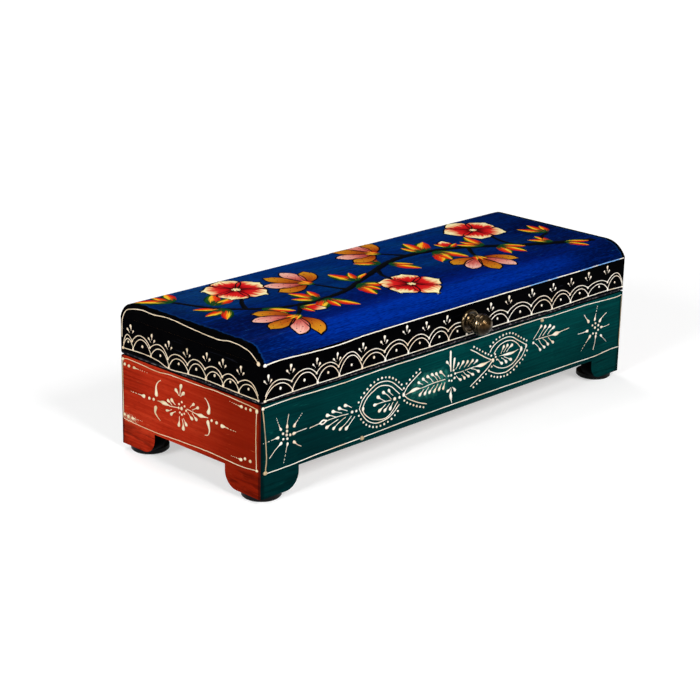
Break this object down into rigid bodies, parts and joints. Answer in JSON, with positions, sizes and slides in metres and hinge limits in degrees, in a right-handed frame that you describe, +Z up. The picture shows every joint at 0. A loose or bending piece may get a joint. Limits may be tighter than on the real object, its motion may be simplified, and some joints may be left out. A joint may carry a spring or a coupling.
{
  "type": "jewellery box",
  "caption": "Long low wooden jewellery box on bracket feet, painted in colour fields with raised cone-work; the hinged, crowned lid lifts by a turned brass knob.",
  "frame": {"origin": "on the surface that the box stands on, under the middle of its boards", "axes": "+X along the length to the right as seen from the front, +Y from front to back, +Z up"},
  "size_m": [0.3, 0.1269, 0.0845],
  "materials": {
    "green_paint": "brushed oil-bound paint under thin varnish, dark teal green",
    "orange_paint": "brushed oil-bound paint under thin varnish, orange red",
    "blue_paint": "brushed oil-bound paint under thin varnish, deep blue",
    "black_paint": "brushed black paint under thin varnish",
    "bare_wood": "planed softwood",
    "lining_felt": "felt glued to card",
    "pad_rubber": "matt black",
    "hinge_brass": "pressed brass, dulled",
    "knob_brass": "turned, antiqued dark",
    "steel": "drawn steel"
  },
  "bodies": {
    "base": {"front_panel": "green_paint", "back_panel": "green_paint", "left_panel": "orange_paint", "right_panel": "orange_paint", "foot_block_front_left": "black_paint", "foot_block_front_right": "black_paint", "foot_block_back_left": "black_paint", "foot_block_back_right": "black_paint", "bottom_board": "bare_wood", "floor_lining": "lining_felt", "foot_pad_front_left": "pad_rubber", "foot_pad_front_right": "pad_rubber", "foot_pad_back_left": "pad_rubber", "foot_pad_back_right": "pad_rubber", "left_hinge_base_leaf": "hinge_brass", "left_hinge_pin": "hinge_brass", "right_hinge_base_leaf": "hinge_brass", "right_hinge_pin": "hinge_brass", "hinge_base_screws": "hinge_brass"},
    "lid": {"lid_top": "blue_paint", "lid_front_rail": "black_paint", "lid_back_rail": "black_paint", "lid_left_rail": "black_paint", "lid_right_rail": "black_paint", "left_hinge_lid_leaf": "hinge_brass", "right_hinge_lid_leaf": "hinge_brass", "hinge_lid_screws": "hinge_brass", "knob": "knob_brass", "knob_rose": "knob_brass", "knob_washer": "knob_brass", "knob_screw": "steel"}
  },
  "joints": [
    {"name": "lid_hinge", "type": "hinge", "parent": "base", "child": "lid", "pos_m": [0, 0.0545, 0.0544], "axis": [-1, 0, 0], "range_deg": [0, 105]}
  ]
}
